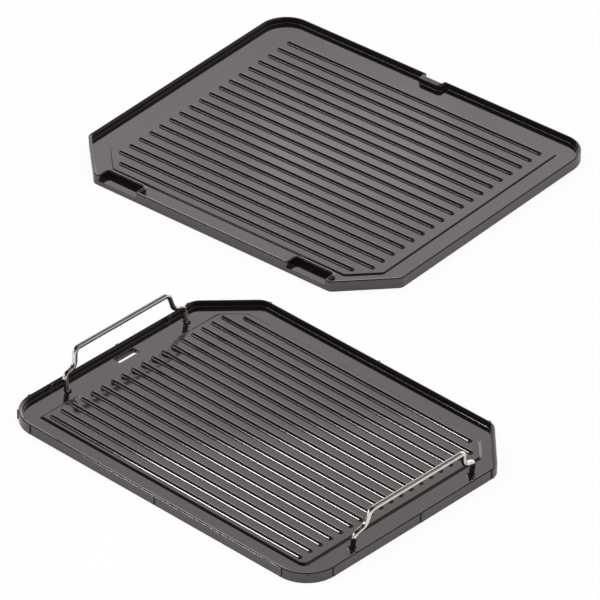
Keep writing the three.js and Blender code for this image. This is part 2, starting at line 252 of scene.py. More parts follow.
# Skirt, shallow recess and the flat land in the middle
def underside(shell, plate, outer, rim):
    sharp = insetPolygon(outer, casting["skirtWidth"])
    depth, slope = casting["recessDepth"], casting["recessSlope"]
    bend, steps = casting["recessRound"], casting["recessArc"]
    recess = [(*at, bend, steps) for at, corner in zip(sharp, outer) if corner[2] > casting["plainRound"]]
    x, y = plate["landLength"] / 2, plate["landWidth"] / 2
    land = box(-x, -y, x, y, bend, steps)
    shell.flat(rim, [ring(recess)], 0, up=False)
    shell.skin([shell.loop(ring(recess), 0), shell.loop(ring(recess, slope), depth)])
    shell.flat(ring(recess, slope), [ring(land, -slope)], depth, up=False)
    shell.skin([shell.loop(ring(land, -slope), depth), shell.loop(ring(land), 0)])
    shell.flat(ring(land), [], 0, up=False)


# Points [inset, height] up a crisp step: a hollow toe, a leaning wall and a round crown
def crispStep(rise, crown):
    toe, toeSteps = casting["stepToe"], casting["toeSteps"]
    crownSteps, wallTop = casting["stepPoints"] - toeSteps - 1, toe + casting["stepLean"]
    points = roundOver(toeSteps, 0, 0, toe, toe, bulge=False)
    points += roundOver(crownSteps, wallTop, rise - crown, crown, crown)
    points = np.array(points)
    return points - [points[:, 0].mean(), 0]


# As many points up a soft swell of a given width, of which startShare lies outside the step's line
def softStep(rise, width, startShare):
    share = np.linspace(0, 1, casting["stepPoints"] + 1)
    return np.stack([(share - startShare) * width, rise * (1 - np.cos(math.pi * share)) / 2], 1)


# The step up from the gutter and the flat between the ribs. share says at each point how much the second
# of the two step forms counts.
def plateau(shell, plate, corners, floorRing, forms, share):
    low = plate["gutterHeight"]
    middle, inward = ring(corners), inwards(corners)
    loops = []
    for one, two in zip(*forms):
        inset, height = (one[i] * (1 - share) + two[i] * share for i in (0, 1))
        loops.append((middle + inward * inset[:, None], low + height))
    shell.flat(floorRing, [loops[0][0]], low)
    shell.skin([shell.loop(points, z) for points, z in loops])
    shell.flat(loops[-1][0], [], low + plate["plateauRise"])


# How far the plateau reaches to each side of the plate's middle
def reach(plate):
    x, y = plate["length"] / 2, plate["width"] / 2
    return dict(
        left=x - plate["gutterLeft"], right=x - plate["gutterRight"],
        front=y - plate["gutterFront"], back=y - plate["gutterBack"],
    )


# Lower plate, with the grease slot in its left gutter and the holes for the wire ends
lower = dict(
    length=295.3, width=225.8, rimHeight=8.4, gutterHeight=3.9, frontRound=26, cornerCut=36.4, cutRound=12,
    gutterLeft=21.4, gutterRight=19.3, gutterFront=16.2, gutterBack=17.6,
    plateauRise=0.9, plateauCut=15, plateauRound=5, tipRound=0.6, stepWidth=2.3, stepStartShare=0.5,
    # The lowered end at the left, where the grease runs off, and the ramp down to it
    sumpBack=48.3, sumpFront=59.7, sumpInset=8, sumpSlant=21, sumpRound=7, sumpArc=10, sumpTip=1.5,
    rampWidth=16, rampStartShare=0.3, rampMargin=0.8, rampGap=4, tipArc=4,
    ribPitch=10.04, ribMiddle=-0.8, ribGapLeft=4.1, ribGapRight=7, shortGapLeft=16, shortGapRight=17,
    landLength=180, landWidth=130,
)
slot = dict(
    inset=6.9, width=6.6, length=20, middle=-1.1, round=1.2, edge=0.3, edgeSteps=4, draft=0.9, over=3,
)
footHole = dict(
    diameter=5, webThickness=1.7, edgeDiameter=7.4, edgeDepth=0.5, edgePower=1.6, edgeSteps=4,
    recessBevel=0.2, sides=40, over=2,
)


def lowerOutline():
    x, y = lower["length"] / 2, lower["width"] / 2
    cut, bend, small, wide = lower["cornerCut"], lower["cutRound"], casting["smallArc"], casting["wideArc"]
    front = [(-x, -y, lower["frontRound"], wide), (x, -y, lower["frontRound"], wide)]
    cuts = ((x, y - cut), (x - cut, y), (cut - x, y), (-x, y - cut))
    return front + [(*at, bend, small) for at in cuts]


def lowerPlateau(shell, floorRing):
    r = reach(lower)
    cut, small, tip = lower["plateauCut"], casting["smallArc"], lower["tipArc"]
    bend, bendArc = lower["sumpRound"], lower["sumpArc"]
    sump, slantEnd = lower["sumpInset"] - r["left"], lower["sumpBack"] - lower["sumpSlant"]
    plain = (
        (r["right"], -r["front"]), (r["right"], r["back"] - cut), (r["right"] - cut, r["back"]),
        (cut - r["left"], r["back"]), (-r["left"], r["back"] - cut),
    )
    corners = [(-r["left"], -r["front"], lower["tipRound"], tip)]
    corners += [(*at, lower["plateauRound"], small) for at in plain]
    corners += [(-r["left"], lower["sumpBack"] - bend, bend, bendArc), (sump, slantEnd, bend, bendArc)]
    corners += [(x, -lower["sumpFront"], lower["sumpTip"], tip) for x in (sump, -r["left"])]
    x, y = ring(corners).T
    onRamp = (y > lower["rampGap"] - lower["sumpFront"]) & (y < slantEnd)
    onRamp &= np.abs(x - sump) < lower["rampMargin"]
    step = softStep(lower["plateauRise"], lower["stepWidth"], lower["stepStartShare"])
    ramp = softStep(lower["plateauRise"], lower["rampWidth"], lower["rampStartShare"])
    plateau(shell, lower, corners, floorRing, (step, ramp), onRamp.astype(float))


# A closed round solid from [radius, height] points, from the lowest up
def lathe(name, profile, x, y, sides):
    shell = Shell()
    turns = [2 * math.pi * k / sides for k in range(sides)]
    loops = []
    for r, z in profile:
        loops.append(shell.loop(np.array([(x + r * math.cos(a), y + r * math.sin(a)) for a in turns]), z))
    shell.skin(loops)
    shell.bm.faces.new(loops[0])
    shell.bm.faces.new(loops[-1])
    return toObject(name, shell.finish(name, weld["round"]))


def slotCutter():
    floor, edge, over = lower["gutterHeight"], slot["edge"], slot["over"]
    left, front = slot["inset"] - lower["length"] / 2, slot["middle"] - slot["length"] / 2
    mouth = box(left, front, left + slot["width"], front + slot["length"], slot["round"])
    mouthEdge = roundOver(slot["edgeSteps"], 0, floor - edge, -edge, edge)
    profile = [(0, -over), *mouthEdge, (-edge, floor + over)]
    loops = [ring(mouth, d) for d, _ in profile]
    slant = slot["draft"] * (floor - edge + over) / floor
    loops[0][:, 0] = np.maximum(loops[0][:, 0], left + slant)
    cutter = Shell()
    cutter.skin([cutter.loop(p, z) for p, (_, z) in zip(loops, profile)])
    cutter.flat(loops[0], [], -over, up=False)
    cutter.flat(loops[-1], [], floor + over)
    return toObject("slotCutter", cutter.finish("slotCutter"))


# The four holes for the wire ends, each with a softened mouth above and a washer's recess below
def footCutters():
    floor, hole, brim = lower["gutterHeight"], footHole["diameter"] / 2, footHole["edgeDiameter"] / 2
    low, depth, over = floor - footHole["webThickness"], footHole["edgeDepth"], footHole["over"]
    wide, bevel = washer["diameter"] / 2 + washer["recessGap"], footHole["recessBevel"]
    span, sides = handle["footSpan"] / 2, footHole["sides"]
    profile = [(wide, -over), (wide, low - bevel), (wide - bevel, low), (hole, low), (hole, floor - depth)]
    for k in range(footHole["edgeSteps"]):
        share = (k + 1) / footHole["edgeSteps"]
        profile.append((hole + (brim - hole) * share ** footHole["edgePower"], floor - depth * (1 - share)))
    profile.append((brim, floor + over))
    spots = [(x, middle + offset) for x, middle in footPivots().values() for offset in (-span, span)]
    return [lathe("footCutter", profile, x, y, sides) for x, y in spots]


def lowerPlate():
    outer, rim = lowerOutline(), casting["rimWidth"]
    inner = [(*at, corner[2] - rim, corner[3]) for at, corner in zip(insetPolygon(outer, rim), outer)]
    shell, floorRing = trayShell(lower, outer, inner)
    underside(shell, lower, outer, ring(outer, casting["footRound"]))
    lowerPlateau(shell, floorRing)
    obj = toObject("castLowerPlate", shell.finish("castLowerPlate"))
    return smooth(cutBy(obj, [slotCutter(), *footCutters()]), shading["castingAngle"])


# Upper plate, with a notch in its back rim, which has a thicker pad of wall behind it, and two pockets in its
# front rim
upper = dict(
    length=296.4, width=260.7, rimHeight=8.7, gutterHeight=4.1, backRound=23, cornerCut=37, cutRound=6,
    leastRound=0.5, gutterLeft=20.1, gutterRight=18.4, gutterFront=18.4, gutterBack=18.9,
    plateauRise=1, plateauCut=20, plateauRound=4, frontShoulder=0.7, shoulderStart=0.4, shoulderSpan=0.5,
    ribPitch=11.39, ribMiddle=-0.5, ribGapLeft=8.5, ribGapRight=8.2, shortGapLeft=18.5, shortGapRight=18.1,
    landLength=180, landWidth=150, placeX=-213.7, placeY=281.2, turnDegrees=4.4,
)
notch = dict(width=17, depth=3.4, wall=5.4, padWidth=21, round=1.2, mouthRound=0.8, padRound=3)
pocket = dict(inner=71.6, outer=106, depth=10.8, round=2.4, leastRound=0.4, margin=0.05)


# Corners of the outer wall, or of the inner wall a step further in. The notch is given by its half width,
# the place of its face and the rounds at its mouth and its face.
def upperOutline(step, half, face, mouthRound, faceRound):
    x, y = upper["length"] / 2, upper["width"] / 2
    cut, small, wide, tiny = upper["cornerCut"], casting["smallArc"], casting["wideArc"], casting["tinyArc"]
    front, back = step - y, y - step
    deep = front + pocket["depth"]
    convex, hollow = max(pocket["round"] - step, pocket["leastRound"]), pocket["round"] + step
    pockets = []
    for left, right in ((-pocket["outer"], -pocket["inner"]), (pocket["inner"], pocket["outer"])):
        left, right = left - step, right + step
        pockets += [(left, front, convex, tiny), (left, deep, hollow, tiny)]
        pockets += [(right, deep, hollow, tiny), (right, front, convex, tiny)]
    sharp = insetPolygon([(cut - x, -y), (x - cut, -y), (x, cut - y), (x, y), (-x, y), (-x, cut - y)], step)
    cutRound, backRound = (max(upper[key] - step, upper["leastRound"]) for key in ("cutRound", "backRound"))
    ends = [(*at, cutRound, small) for at in sharp]
    ends[3:5] = [(*at, backRound, wide) for at in sharp[3:5]]
    notched = [(half, back, mouthRound, tiny), (half, face, faceRound, tiny)]
    notched += [(-half, face, faceRound, tiny), (-half, back, mouthRound, tiny)]
    return [ends[0], *pockets, *ends[1:4], *notched, *ends[4:]]


def upperPlateau(shell, floorRing):
    r, cut = reach(upper), upper["plateauCut"]
    spots = (
        (cut - r["left"], -r["front"]), (r["right"] - cut, -r["front"]), (r["right"], cut - r["front"]),
        (r["right"], r["back"]), (-r["left"], r["back"]), (-r["left"], cut - r["front"]),
    )
    corners = [(*at, upper["plateauRound"], casting["smallArc"]) for at in spots]
    onFront = np.clip((inwards(corners)[:, 1] - upper["shoulderStart"]) / upper["shoulderSpan"], 0, 1)
    crowns = (casting["stepCrown"], upper["frontShoulder"])
    forms = [crispStep(upper["plateauRise"], crown) for crown in crowns]
    plateau(shell, upper, corners, floorRing, forms, onFront)


def upperPlate():
    y, half = upper["width"] / 2, notch["width"] / 2
    face = y - notch["depth"]
    outer = upperOutline(0, half, face, notch["round"], notch["round"])
    padHalf, padFace = notch["padWidth"] / 2, face - notch["wall"]
    inner = upperOutline(casting["rimWidth"], padHalf, padFace, notch["mouthRound"], notch["padRound"])
    wall = ring(outer)
    pocketEnd = pocket["outer"] + pocket["round"] + pocket["margin"]
    atPockets = (wall[:, 1] < -y / 2) & (np.abs(wall[:, 0]) < pocketEnd)

    # The outline with the front straight across the pockets
    def filled(inset, pocketInset):
        points = ring(outer, inset)
        points[atPockets, 0] = wall[atPockets, 0]
        points[atPockets, 1] = pocketInset - y
        return points

    shell, floorRing = trayShell(upper, outer, inner, filled)
    foot = filled(casting["footRound"], casting["footRound"])
    apart = np.linalg.norm(foot - np.roll(foot, 1, 0), axis=1) > casting["leastGap"]
    underside(shell, upper, outer, foot[apart])
    upperPlateau(shell, floorRing)
    obj = toObject("castUpperPlate", shell.finish("castUpperPlate"), upperMatrix())
    return smooth(obj, shading["castingAngle"])


def upperMatrix():
    turn = Matrix.Rotation(math.radians(upper["turnDegrees"]), 4, "Z")
    return Matrix.Translation((upper["placeX"], upper["placeY"], 0)) @ turn


# A new node with its settings; each input is linked to a socket or set to a value
def addNode(tree, kind, inputs, **settings):
    node = tree.nodes.new(kind)
    for key, value in settings.items():
        setattr(node, key, value)
    for label, value in inputs.items():
        if isinstance(value, bpy.types.NodeSocket):
            tree.links.new(value, node.inputs[label])
        else:
            node.inputs[label].default_value = value
    return node.outputs


def maths(tree, operation, *values):
    return addNode(tree, "ShaderNodeMath", dict(enumerate(values)), operation=operation)["Value"]


# Geometry nodes for what repeats: at each place a row of copies starts, turned about Z by the place's turn
def rowTree(name):
    tree = bpy.data.node_groups.new(name, "GeometryNodeTree")
    sockets = dict(Places="Geometry", Piece="Object", Rows="Int", Pitch="Float", Finish="Material")
    for label, kind in sockets.items():
        tree.interface.new_socket(label, in_out="INPUT", socket_type=f"NodeSocket{kind}")
    tree.interface.new_socket("Result", in_out="OUTPUT", socket_type="NodeSocketGeometry")
    given = tree.nodes.new("NodeGroupInput").outputs
    turn = addNode(tree, "GeometryNodeInputNamedAttribute", {"Name": "turn"}, data_type="FLOAT")["Attribute"]
    piece = addNode(tree, "GeometryNodeObjectInfo", {"Object": given["Piece"]})["Geometry"]
    starts = {"Geometry": given["Places"], "Amount": given["Rows"]}
    spots = addNode(tree, "GeometryNodeDuplicateElements", starts, domain="POINT")
    along = maths(tree, "MULTIPLY", given["Pitch"], spots["Duplicate Index"])
    shift = addNode(tree, "ShaderNodeCombineXYZ", {"Y": along})["Vector"]
    turned = {"Vector": shift, "Angle": turn}
    shift = addNode(tree, "ShaderNodeVectorRotate", turned, rotation_type="Z_AXIS")["Vector"]
    moved = {"Geometry": spots["Geometry"], "Offset": shift}
    rows = addNode(tree, "GeometryNodeSetPosition", moved)["Geometry"]
    spin = addNode(tree, "ShaderNodeCombineXYZ", {"Z": turn})["Vector"]
    placed = {"Points": rows, "Instance": piece, "Rotation": spin}
    copies = addNode(tree, "GeometryNodeInstanceOnPoints", placed)["Instances"]
    real = addNode(tree, "GeometryNodeRealizeInstances", {"Geometry": copies})["Geometry"]
    finished = {"Geometry": real, "Material": given["Finish"]}
    result = addNode(tree, "GeometryNodeSetMaterial", finished)["Geometry"]
    addNode(tree, "NodeGroupOutput", {"Result": result})
    return tree


# places are [x, y, z, turn], and each starts a row of its own
def setOut(name, tree, piece, places, material, rows=1, pitch=0):
    mesh = bpy.data.meshes.new(name)
    mesh.from_pydata([Vector(p[:3]) / perMetre for p in places], [], [])
    mesh.attributes.new("turn", "FLOAT", "POINT").data.foreach_set("value", [p[3] for p in places])
    obj = bpy.data.objects.new(name, mesh)
    scene.collection.objects.link(obj)
    step = obj.modifiers.new("copies", "NODES")
    step.node_group = tree
    sockets = {item.name: item.identifier for item in tree.interface.items_tree if item.in_out == "INPUT"}
    values = dict(Piece=piece, Rows=rows, Pitch=pitch / perMetre, Finish=material)
    for label, value in values.items():
        step[sockets[label]] = value
    applied(obj)
    bpy.data.objects.remove(piece)
    return obj


# Ribs: an arc of the given radius and rise, with its foot buried in the plateau
rib = dict(rise=1.72, arc=2.2, baseWidth=4.3, buried=0.6, footFlare=0.1, perSide=9, sides=14, endSteps=14)


# [half width, height] of a rib's section from its buried foot to the crown, a round arc
def ribProfile():
    arc, rise, sides = rib["arc"], rib["rise"], rib["sides"]
    swing = math.acos(1 - rise / arc)
    out = [(arc * math.sin(swing) + rib["footFlare"], -rib["buried"])]
    for k in range(sides):
        a = swing * (1 - k / sides)
        out.append((arc * math.sin(a), rise - arc * (1 - math.cos(a))))
    return out


# One rib with round ends, along X about the origin
def ribMesh(name, length):
    shell = Shell()
    steps, end = rib["endSteps"], length / 2 - rib["baseWidth"] / 2
    loops = []
    for wide, z in ribProfile():
        points = []
        for centre, start in ((end, -quarter), (-end, quarter)):
            for k in range(steps + 1):
                a = start + math.pi * k / steps
                points.append((centre + wide * math.cos(a), wide * math.sin(a)))
        loops.append((np.array(points), z))
    shell.skin([shell.loop(p, z) for p, z in loops])
    shell.flat(loops[-1][0], [], loops[-1][1])
    return shell.finish(name)


# All ribs of a plate; the last one, next to the cut corners, is short
def ribs(name, tree, plate, cutSide, material, place):
    r, perSide, pitch = reach(plate), rib["perSide"], cutSide * plate["ribPitch"]
    base = plate["gutterHeight"] + plate["plateauRise"]
    made = []
    kinds = (("Long", "ribGap", -perSide, 2 * perSide), ("Short", "shortGap", perSide, 1))
    for kind, gap, first, rows in kinds:
        left, right = plate[gap + "Left"] - r["left"], r["right"] - plate[gap + "Right"]
        piece = smooth(toObject(f"rib{kind}", ribMesh(f"rib{kind}", right - left)), shading["smallAngle"])
        start = place @ Vector(((left + right) / 2, plate["ribMiddle"] + first * pitch, base))
        places = [(*start, place.to_euler().z)]
        made.append(setOut(f"{name}{kind}", tree, piece, places, material, rows, pitch))
    return made


# Small cast nubs on the lower plate's outer wall. cornerShares says where on each corner's arc they stand.
nub = dict(
    width=2.6, proud=1, buried=0.6, topDrop=0.4, footRise=1, round=0.45, leastRound=0.05, edgeSteps=4, arc=5,
    cornerShares=((0, 0.5, 1), (0, 0.5, 1), (0,), (1,), (0,), (1,)),
)


def nubPlaces():
    corners = lowerOutline()
    line = ring(corners)
    places, start = [], 0
    for (_, _, _, steps), shares in zip(corners, nub["cornerShares"]):
        for share in shares:
            i = start + round(share * steps)
            before, after = line[i - 1], line[(i + 1) % len(line)]
            tangent = (line[i] if share == 0 else after) - (line[i] if share == 1 else before)
            places.append((*line[i], 0, math.atan2(-tangent[0], tangent[1])))
        start += steps + 1
    for a in (0, quarter, 2 * quarter, 3 * quarter):
        places.append((lower["length"] / 2 * math.cos(a), lower["width"] / 2 * math.sin(a), 0, a))
    return places


def nubs(tree, material):
    half, edge, least, steps = nub["width"] / 2, nub["round"], nub["leastRound"], nub["edgeSteps"]
    corner = box(-nub["buried"], -half, nub["proud"], half, edge, nub["arc"])
    low, high = nub["footRise"], lower["rimHeight"] - nub["topDrop"]
    profile = roundOver(steps, edge, low, -edge, edge, bulge=False)
    profile += roundOver(steps, 0, high - edge, edge, edge)
    shell = Shell()
    shell.skin([shell.loop(ring(corner, d, least), z) for d, z in profile])
    shell.flat(ring(corner, profile[0][0], least), [], low, up=False)
    shell.flat(ring(corner, profile[-1][0], least), [], high)
    piece = smooth(toObject("nub", shell.finish("nub", weld["nub"])), shading["smallAngle"])
    return setOut("lowerNubs", tree, piece, nubPlaces(), material)


# Wire handles, with offset necks, and the push-on washers that hold their ends
handle = dict(
    wireDiameter=4, leftInset=12, leftMiddle=-2, rightInset=10.4, rightMiddle=1.1, footSpan=119,
    shoulderHeight=13.9, shoulderRise=2.5, neckSpan=98.8, gripSpan=93, gripHeight=29.2, bend=4,
    leanDegrees=9.5, stub=0.15, endRound=0.35, sides=28, bendSteps=12, straightSteps=3, endSteps=4,
)
washer = dict(
    diameter=7.6, thickness=0.6, drop=0.8, wireGap=0.3, recessGap=0.8,
    teeth=6, perTooth=8, slitDepth=0.75, edge=0.12, boreEdge=0.048,
)


def footPivots():
    half = lower["length"] / 2
    left, right = handle["leftInset"] - half, half - handle["rightInset"]
    return dict(left=(left, handle["leftMiddle"]), right=(right, handle["rightMiddle"]))


# How far the washer's lower face is below the middle of the plate's web
def washerDepth():
    return footHole["webThickness"] / 2 + washer["drop"] + washer["thickness"]


# Points (across, up) of the wire's middle line in its own plane, from the near end to the far one
def wirePath():
    shoulder, foot = handle["shoulderHeight"], handle["footSpan"] / 2
    neck, grip = handle["neckSpan"] / 2, handle["gripSpan"] / 2
    half = [
        (foot, -washerDepth() - handle["stub"]), (foot, shoulder),
        (neck, shoulder + handle["shoulderRise"]), (grip, handle["gripHeight"]),
    ]
    corners = [np.array(p) for p in half] + [np.array((-a, b)) for a, b in reversed(half)]
    points, last = [corners[0]], corners[0]
    straight, bend = handle["straightSteps"], handle["bendSteps"]
    for before, corner, after in zip(corners, corners[1:], corners[2:]):
        start = corner + unit(before - corner) * handle["bend"]
        end = corner + unit(after - corner) * handle["bend"]
        points += [last + (start - last) * k / straight for k in range(1, straight)]
        for k in range(bend + 1):
            t = k / bend
            points.append(start * (1 - t) ** 2 + 2 * corner * t * (1 - t) + end * t * t)
        last = end
    return np.array(points + [corners[-1]])


def wireMesh(name):
    path = wirePath()
    radius, edge = handle["wireDiameter"] / 2, handle["endRound"]
    tangents = np.gradient(path, axis=0)
    tangents /= np.linalg.norm(tangents, axis=1)[:, None]
    tangents[0], tangents[-1] = (0, 1), (0, -1)
    soft = roundOver(handle["endSteps"], 0, radius - edge, edge, edge)
    stations = [(path[0] + tangents[0] * d, tangents[0], size) for d, size in soft]
    stations += [(point, tangent, radius) for point, tangent in zip(path[1:-1], tangents[1:-1])]
    stations += [(path[-1] - tangents[-1] * d, tangents[-1], size) for d, size in reversed(soft)]
    turns = [2 * math.pi * k / handle["sides"] for k in range(handle["sides"])]
    shell = Shell()
    loops = []
    for point, tangent, size in stations:
        centre, normal = Vector((0, *point)), Vector((0, -tangent[1], tangent[0])) * size
        spots = [centre + normal * math.cos(a) + Vector((size * math.sin(a), 0, 0)) for a in turns]
        loops.append([shell.bm.verts.new(spot) for spot in spots])
    shell.skin(loops)
    shell.bm.faces.new(loops[0])
    shell.bm.faces.new(loops[-1])
    bmesh.ops.recalc_face_normals(shell.bm, faces=shell.bm.faces)
    return toMesh(name, shell.bm)


# A push-on washer: a thin ring with soft edges whose bore is slit into teeth
def washerMesh(name):
    bore, brim = handle["wireDiameter"] / 2 + washer["wireGap"], washer["diameter"] / 2
    high, edge, perTooth = washer["thickness"], washer["edge"], washer["perTooth"]
    steps = washer["teeth"] * perTooth
    slit = np.array([k % perTooth in (0, perTooth - 1) for k in range(steps)])
    inner = np.where(slit, bore + washer["slitDepth"], bore)
    softInner = inner + washer["boreEdge"]
    turns = np.arange(steps) * 2 * math.pi / steps
    compass = np.stack([np.cos(turns), np.sin(turns)], 1)
    loops = [
        (softInner, 0), (brim - edge, 0), (brim, edge), (brim, high - edge), (brim - edge, high),
        (softInner, high), (inner, high - edge), (inner, edge), (softInner, 0),
    ]
    shell = Shell()
    shell.skin([shell.loop(compass * np.broadcast_to(r, steps)[:, None], z) for r, z in loops])
    return shell.finish(name, weld["round"])


def handleMatrix(side):
    x, y = footPivots()[side]
    spin = Matrix.Rotation(math.pi if side == "left" else 0, 4, "Z")
    lean = Matrix.Rotation(math.radians(handle["leanDegrees"]), 4, "Y")
    height = lower["gutterHeight"] - footHole["webThickness"] / 2
    return Matrix.Translation((x, y, height)) @ spin @ lean


# Shader nodes
def noise(tree, vector, scale, detail=2.0, roughness=0.5):
    inputs = {"Vector": vector, "Scale": scale, "Detail": detail, "Roughness": roughness}
    return addNode(tree, "ShaderNodeTexNoise", inputs)["Fac"]


def spread(tree, value, low, high, fromLow=0.3, fromHigh=0.7):
    inputs = {"Value": value, "From Min": fromLow, "From Max": fromHigh, "To Min": low, "To Max": high}
    return addNode(tree, "ShaderNodeMapRange", inputs)["Result"]


def mixColours(tree, factor, one, two):
    inputs = {0: factor, 6: one, 7: two}  # the mix node's colour sockets are 6 and 7
    return addNode(tree, "ShaderNodeMix", inputs, data_type="RGBA")[2]


def bump(tree, height, strength, depth):
    inputs = {"Height": height, "Strength": strength, "Distance": depth}
    return addNode(tree, "ShaderNodeBump", inputs)["Normal"]


def shaderGroup(name, inputs, outputs):
    group = bpy.data.node_groups.new(name, "ShaderNodeTree")
    group.interface.new_socket("Vector", in_out="INPUT", socket_type="NodeSocketVector")
    for label, value in inputs:
        socket = group.interface.new_socket(label, in_out="INPUT", socket_type="NodeSocketFloat")
        socket.default_value = value
    for label in outputs:
        group.interface.new_socket(label, in_out="OUTPUT", socket_type="NodeSocketFloat")
    return group, group.nodes.new("NodeGroupInput").outputs


# Effects that the finishes share. The noises are (scale, detail, roughness).
spray = dict(
    cloud=(16, 3, 0.55), peel=(420, 2, 0.5), swell=(38, 2, 0.5), swellHeight=2.2,
    specks=900, speckReach=(0.05, 0.16),
)
rubbed = dict(startsAt=0.53, fullAt=0.62, least=0.2)


# The uneven film of a sprayed coating: clouding, fine orange peel and specks
def sprayedFilm():
    tree, given = shaderGroup("sprayedFilm", [("Peel", 0.5)], ["Cloud", "Height", "Specks"])
    place = given["Vector"]
    cloud, peel, swell = (noise(tree, place, *spray[key]) for key in ("cloud", "peel", "swell"))
    grain = addNode(tree, "ShaderNodeTexVoronoi", {"Vector": place, "Scale": spray["specks"]})["Distance"]
    peel = maths(tree, "MULTIPLY", peel, given["Peel"])
    swell = maths(tree, "MULTIPLY", swell, spray["swellHeight"])
    results = {
        "Cloud": spread(tree, cloud, 0, 1), "Height": maths(tree, "ADD", peel, swell),
        "Specks": spread(tree, grain, 1, 0, *spray["speckReach"]),
    }
    addNode(tree, "NodeGroupOutput", results)
    return tree


# A mask of the exposed edges, broken up so that it isn't an even line
def edgeWear():
    tree, given = shaderGroup("edgeWear", [("Scale", 90)], ["Mask"])
    pointed = addNode(tree, "ShaderNodeNewGeometry", {})["Pointiness"]
    edges = spread(tree, pointed, 0, 1, rubbed["startsAt"], rubbed["fullAt"])
    broken = spread(tree, noise(tree, given["Vector"], given["Scale"]), rubbed["least"], 1)
    addNode(tree, "NodeGroupOutput", {"Mask": maths(tree, "MULTIPLY", edges, broken)})
    return tree


def newMaterial(name, **sockets):
    material = bpy.data.materials.new(name)
    material.use_nodes = True
    tree = material.node_tree
    for label, value in sockets.items():
        tree.nodes["Principled BSDF"].inputs[label.replace("_", " ")].default_value = value
    return material, tree, tree.nodes.new("ShaderNodeTexCoord").outputs["Object"]


def useGroup(tree, group, place, **values):
    return addNode(tree, "ShaderNodeGroup", {"Vector": place, **values}, node_tree=group)


def feed(tree, colour, roughness, normal):
    shader = tree.nodes["Principled BSDF"]
    for label, value in (("Base Color", colour), ("Roughness", roughness), ("Normal", normal)):
        tree.links.new(value, shader.inputs[label])


# Finishes
coatingLook = dict(
    ior=1.93, tint=(1.0, 0.87, 0.87, 1), tones=((0.0085, 0.0072, 0.007, 1), (0.0115, 0.0098, 0.0095, 1)),
    wornTone=(0.022, 0.019, 0.018, 1), wornShare=0.5, wearScale=120, peel=0.5,
    roughness=(0.085, 0.115), speckRoughness=0.02, bumpStrength=0.012, bumpDepth=0.0003,
)
wireLook = dict(
    tones=((0.80, 0.785, 0.76, 1), (0.71, 0.68, 0.64, 1)), stain=(60, 3, 0.6), drawn=(900, 2, 0.6),
    stretch=(1, 0.06, 1), wearScale=200, roughness=(0.10, 0.17), wornRoughness=0.05,
    bumpStrength=0.08, bumpDepth=0.0002,
)
springLook = dict(
    tones=((0.42, 0.41, 0.40, 1), (0.62, 0.61, 0.60, 1)), scratch=(700, 3, 0.6), wearScale=300,
    roughness=(0.28, 0.42), bumpStrength=0.15, bumpDepth=0.0002,
)


def coatingMaterial(film, wear):
    look = coatingLook
    sockets = dict(IOR=look["ior"], Metallic=0, Specular_Tint=look["tint"])
    material, tree, place = newMaterial("nonStickCoating", **sockets)
    sprayed = useGroup(tree, film, place, Peel=look["peel"])
    edges = useGroup(tree, wear, place, Scale=look["wearScale"])["Mask"]
    worn = maths(tree, "MULTIPLY", edges, look["wornShare"])
    tone = mixColours(tree, sprayed["Cloud"], *look["tones"])
    dull = spread(tree, sprayed["Cloud"], *look["roughness"], 0, 1)
    dull = maths(tree, "ADD", dull, maths(tree, "MULTIPLY", sprayed["Specks"], look["speckRoughness"]))
    relief = bump(tree, sprayed["Height"], look["bumpStrength"], look["bumpDepth"])
    feed(tree, mixColours(tree, worn, tone, look["wornTone"]), dull, relief)
    return material


def wireMaterial(wear):
    look = wireLook
    material, tree, place = newMaterial("polishedWire", Metallic=1)
    stretched = addNode(tree, "ShaderNodeMapping", {"Vector": place, "Scale": look["stretch"]})["Vector"]
    drawn = noise(tree, stretched, *look["drawn"])
    stain = spread(tree, noise(tree, place, *look["stain"]), 0, 1)
    edges = useGroup(tree, wear, place, Scale=look["wearScale"])["Mask"]
    dull = maths(tree, "MULTIPLY", edges, look["wornRoughness"])
    dull = maths(tree, "ADD", spread(tree, drawn, *look["roughness"]), dull)
    relief = bump(tree, drawn, look["bumpStrength"], look["bumpDepth"])
    feed(tree, mixColours(tree, stain, *look["tones"]), dull, relief)
    return material


def springMaterial(wear):
    look = springLook
    material, tree, place = newMaterial("springSteel", Metallic=1)
    scratch = noise(tree, place, *look["scratch"])
    edges = useGroup(tree, wear, place, Scale=look["wearScale"])["Mask"]
    relief = bump(tree, scratch, look["bumpStrength"], look["bumpDepth"])
    feed(tree, mixColours(tree, edges, *look["tones"]), spread(tree, scratch, *look["roughness"]), relief)
    return material


# Floor: pale, seen as white by the camera and as bright in reflections, with a little of the plates' shadow
paleFloor = dict(colour=(0.94, 0.94, 0.94, 1), glow=1.02, glowSeen=0.9, glowMirrored=0.4, half=20)


def floorMaterial():
    material = bpy.data.materials.new("paleFloor")
    material.use_nodes = True
    tree = material.node_tree
    tree.nodes.clear()
    rays = addNode(tree, "ShaderNodeLightPath", {})
    seen = maths(tree, "MULTIPLY", rays["Is Camera Ray"], paleFloor["glowSeen"])
    mirrored = maths(tree, "MULTIPLY", rays["Is Glossy Ray"], paleFloor["glowMirrored"])
    matt = addNode(tree, "ShaderNodeBsdfDiffuse", {"Color": paleFloor["colour"]})[0]
    glow = addNode(tree, "ShaderNodeEmission", {"Color": (1, 1, 1, 1), "Strength": paleFloor["glow"]})[0]
    share = maths(tree, "MAXIMUM", seen, mirrored)
    mix = addNode(tree, "ShaderNodeMixShader", {0: share, 1: matt, 2: glow})[0]
    addNode(tree, "ShaderNodeOutputMaterial", {"Surface": mix})
    return material


